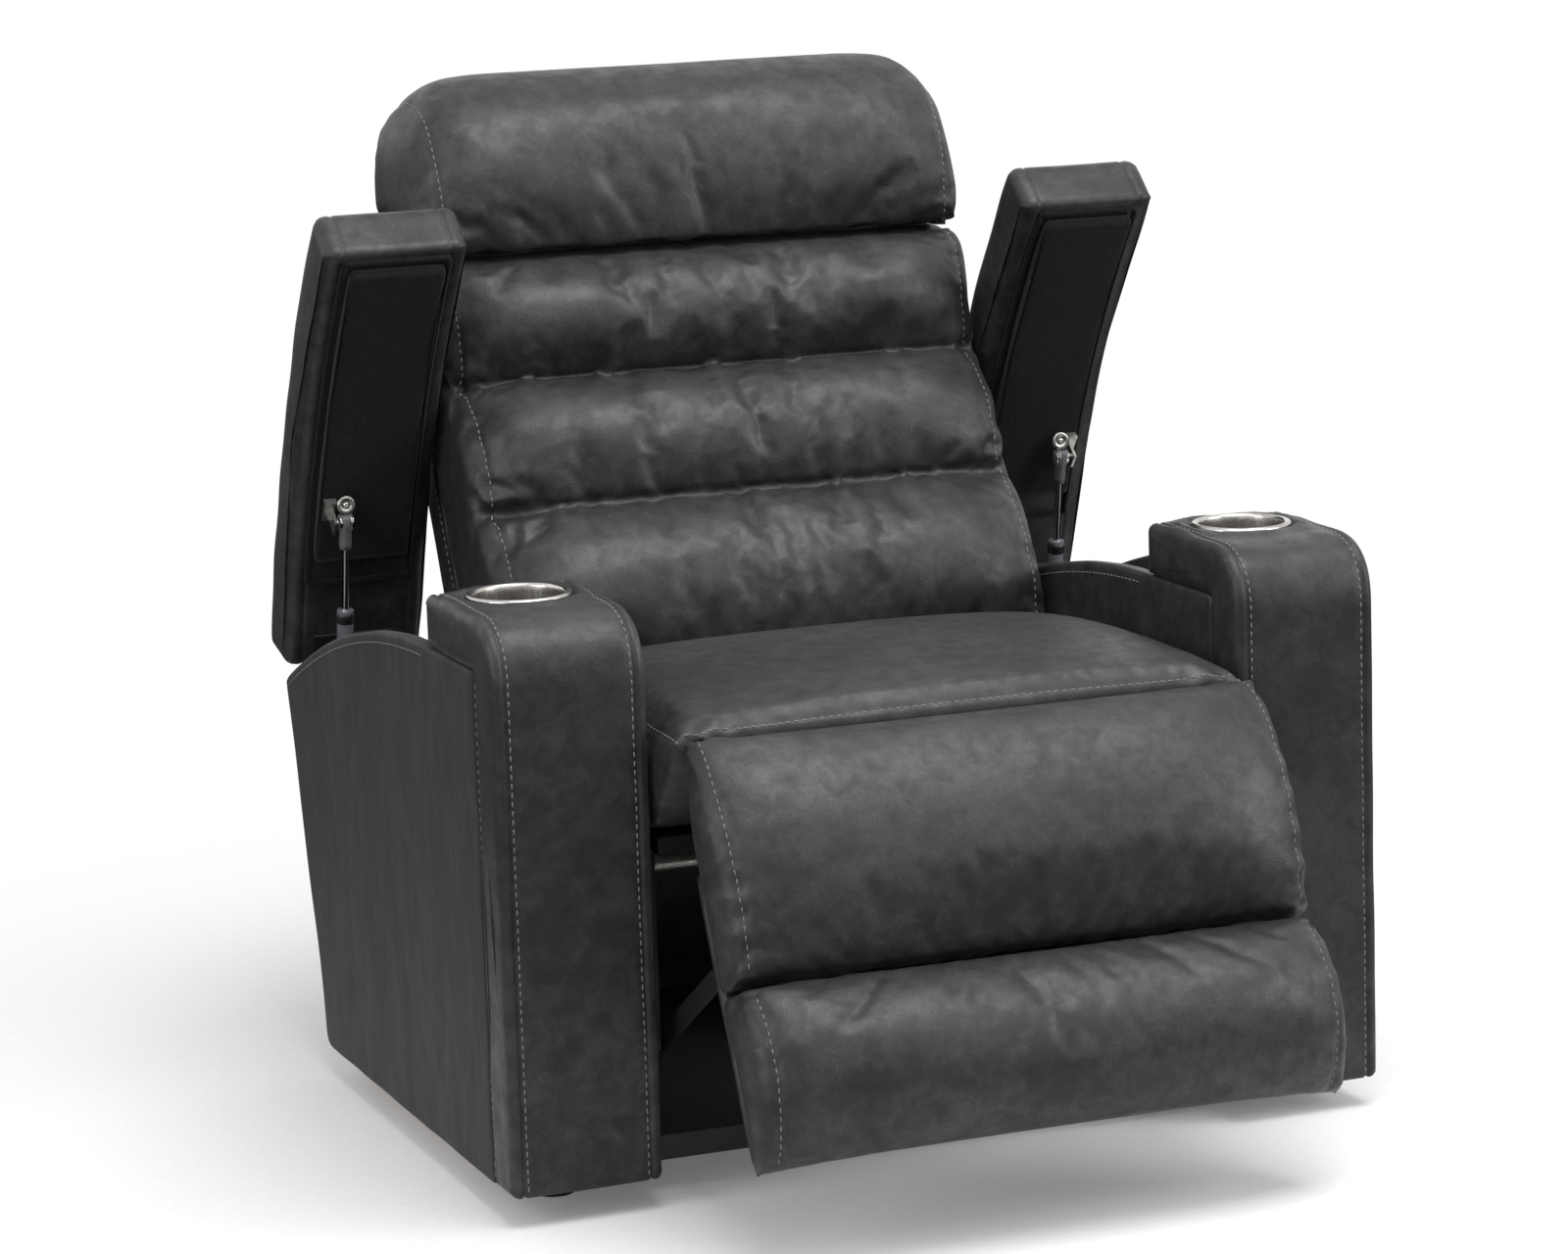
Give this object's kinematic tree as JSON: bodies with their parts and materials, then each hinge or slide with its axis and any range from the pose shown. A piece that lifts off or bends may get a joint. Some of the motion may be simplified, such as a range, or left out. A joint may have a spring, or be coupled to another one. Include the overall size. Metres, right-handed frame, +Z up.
{
  "type": "cinema recliner seat",
  "caption": "Power cinema recliner with channelled back, tilting headrest, linked leg rest, and wide arms with steel cup holders and gas-strut storage lids",
  "frame": {"origin": "on the floor, on the centre line, in the middle of the depth", "axes": "+Z up, +X to the viewer's right, the chair faces -Y"},
  "size_m": [0.939, 1.1446, 1.0631],
  "materials": {
    "leather": "bonded leather, satin",
    "lining_cloth": "black felted cloth",
    "stainless": "spun stainless sheet",
    "board": "plain board",
    "black_steel": "black powder coat",
    "zinc": "zinc plated steel",
    "strut_grey": "grey painted tube",
    "bright_rod": "ground and plated rod",
    "black_plastic": "moulded",
    "webbing": "elastic webbing"
  },
  "bodies": {
    "base": {"outer_panel_right": "leather", "outer_panel_left": "leather", "inner_panel_right": "leather", "inner_panel_left": "leather", "front_post_right": "leather", "front_post_left": "leather", "arm_rear_board_right": "board", "arm_rear_board_left": "board", "arm_floor_right": "board", "arm_floor_left": "board", "storage_floor_right": "lining_cloth", "storage_floor_left": "lining_cloth", "cup_holder_right": "stainless", "cup_holder_left": "stainless", "glide_feet": "black_plastic", "lid_hinge_fixed": "zinc", "strut_arm_studs": "zinc", "floor_rails": "black_steel", "rear_cover": "leather", "dust_cloth": "lining_cloth", "base_side_frame_right": "black_steel", "base_side_frame_left": "black_steel", "switch_plate": "black_plastic", "power_inlet": "black_plastic"},
    "lid_right": {"lid_pad_right": "leather", "lid_liner_right": "lining_cloth", "lid_hinge_moving_right": "zinc", "strut_lid_bracket_right": "zinc"},
    "lid_left": {"lid_pad_left": "leather", "lid_liner_left": "lining_cloth", "lid_hinge_moving_left": "zinc", "strut_lid_bracket_left": "zinc"},
    "strut_tube_right": {"strut_tube_right": "strut_grey"},
    "strut_tube_left": {"strut_tube_left": "strut_grey"},
    "strut_rod_right": {"strut_rod_right": "bright_rod"},
    "strut_rod_left": {"strut_rod_left": "bright_rod"},
    "seat": {"seat_side_plate_right": "black_steel", "seat_side_plate_left": "black_steel", "seat_cross_rails": "board", "seat_webbing": "webbing", "seat_cushion": "leather", "drive_motor": "black_plastic"},
    "back": {"back_side_plate_right": "black_steel", "back_side_plate_left": "black_steel", "back_cross_rails": "board", "outer_back": "leather", "back_cushion": "leather"},
    "headrest": {"headrest_frame": "board", "headrest_pad": "leather"},
    "front_crank": {"front_cranks": "black_steel", "torsion_tube": "black_steel"},
    "rear_crank": {"rear_cranks": "black_steel"},
    "coupler": {"leg_couplers": "black_steel"},
    "leg_rest": {"leg_brackets": "black_steel", "leg_board": "leather", "leg_pad_upper": "leather", "leg_pad_lower": "leather"},
    "ram": {"drive_ram": "bright_rod"},
    "button_open": {"button_open": "black_plastic"},
    "button_close": {"button_close": "black_plastic"}
  },
  "joints": [
    {"name": "lid_close_right", "type": "hinge", "parent": "base", "child": "lid_right", "pos_m": [0.392, 0.4454, 0.421], "axis": [1, 0, 0], "range_deg": [0, 49.5]},
    {"name": "strut_swing_right", "type": "hinge", "parent": "base", "child": "strut_tube_right", "pos_m": [0.419, 0.3874, 0.38], "axis": [1, 0, 0], "range_deg": [0, 48]},
    {"name": "strut_slide_right", "type": "slide", "parent": "strut_tube_right", "child": "strut_rod_right", "axis": [0, 0.1652, -0.9863], "range_m": [0, 0.0595]},
    {"name": "lid_close_left", "type": "hinge", "parent": "base", "child": "lid_left", "pos_m": [-0.392, 0.4454, 0.421], "axis": [1, 0, 0], "range_deg": [0, 49.5]},
    {"name": "strut_swing_left", "type": "hinge", "parent": "base", "child": "strut_tube_left", "pos_m": [-0.419, 0.3874, 0.38], "axis": [1, 0, 0], "range_deg": [0, 48]},
    {"name": "strut_slide_left", "type": "slide", "parent": "strut_tube_left", "child": "strut_rod_left", "axis": [0, 0.1652, -0.9863], "range_m": [0, 0.0595]},
    {"name": "back_recline", "type": "hinge", "parent": "seat", "child": "back", "pos_m": [0, 0.1834, 0.33], "axis": [-1, 0, 0], "range_deg": [0, 35]},
    {"name": "seat_glide", "type": "slide", "parent": "base", "child": "seat", "axis": [0, -1, 0], "range_m": [0, 0.06]},
    {"name": "headrest_tilt", "type": "hinge", "parent": "back", "child": "headrest", "pos_m": [0, 0.3754, 0.874], "axis": [1, 0, 0], "range_deg": [0, 20]},
    {"name": "leg_rest_drive", "type": "hinge", "parent": "seat", "child": "front_crank", "pos_m": [0, -0.2316, 0.335], "axis": [-1, 0, 0], "range_deg": [-33, 66]},
    {"name": "rear_crank_swing", "type": "hinge", "parent": "seat", "child": "rear_crank", "pos_m": [0, -0.18405, 0.31955], "axis": [-1, 0, 0], "range_deg": [-33, 66]},
    {"name": "coupler_swing", "type": "hinge", "parent": "front_crank", "child": "coupler", "pos_m": [0, -0.2316, 0.15], "axis": [-1, 0, 0], "range_deg": [-66, 33]},
    {"name": "leg_rest_tilt", "type": "hinge", "parent": "coupler", "child": "leg_rest", "pos_m": [0, -0.3916, 0.25], "axis": [-1, 0, 0], "range_deg": [-25.75, 51.49]},
    {"name": "ram_slide", "type": "slide", "parent": "seat", "child": "ram", "axis": [0, -1, 0], "range_m": [-0.03, 0.06]},
    {"name": "button_open_press", "type": "slide", "parent": "base", "child": "button_open", "axis": [-1, 0, 0], "range_m": [0, 0.0025], "stiffness_N_per_m": 800, "springref_m": -0.0008},
    {"name": "button_close_press", "type": "slide", "parent": "base", "child": "button_close", "axis": [-1, 0, 0], "range_m": [0, 0.0025], "stiffness_N_per_m": 800, "springref_m": -0.0008}
  ],
  "couplings": [
    {"joint": "strut_swing_right", "follows": "lid_close_right", "ratio": 0.97},
    {"joint": "strut_slide_right", "follows": "lid_close_right", "m_per_rad": 0.06883},
    {"joint": "strut_swing_left", "follows": "lid_close_left", "ratio": 0.97},
    {"joint": "strut_slide_left", "follows": "lid_close_left", "m_per_rad": 0.06883},
    {"joint": "seat_glide", "follows": "back_recline", "m_per_rad": 0.098},
    {"joint": "rear_crank_swing", "follows": "leg_rest_drive", "ratio": 1},
    {"joint": "coupler_swing", "follows": "leg_rest_drive", "ratio": -1},
    {"joint": "leg_rest_tilt", "follows": "leg_rest_drive", "ratio": 0.78},
    {"joint": "ram_slide", "follows": "leg_rest_drive", "m_per_rad": 0.052}
  ]
}
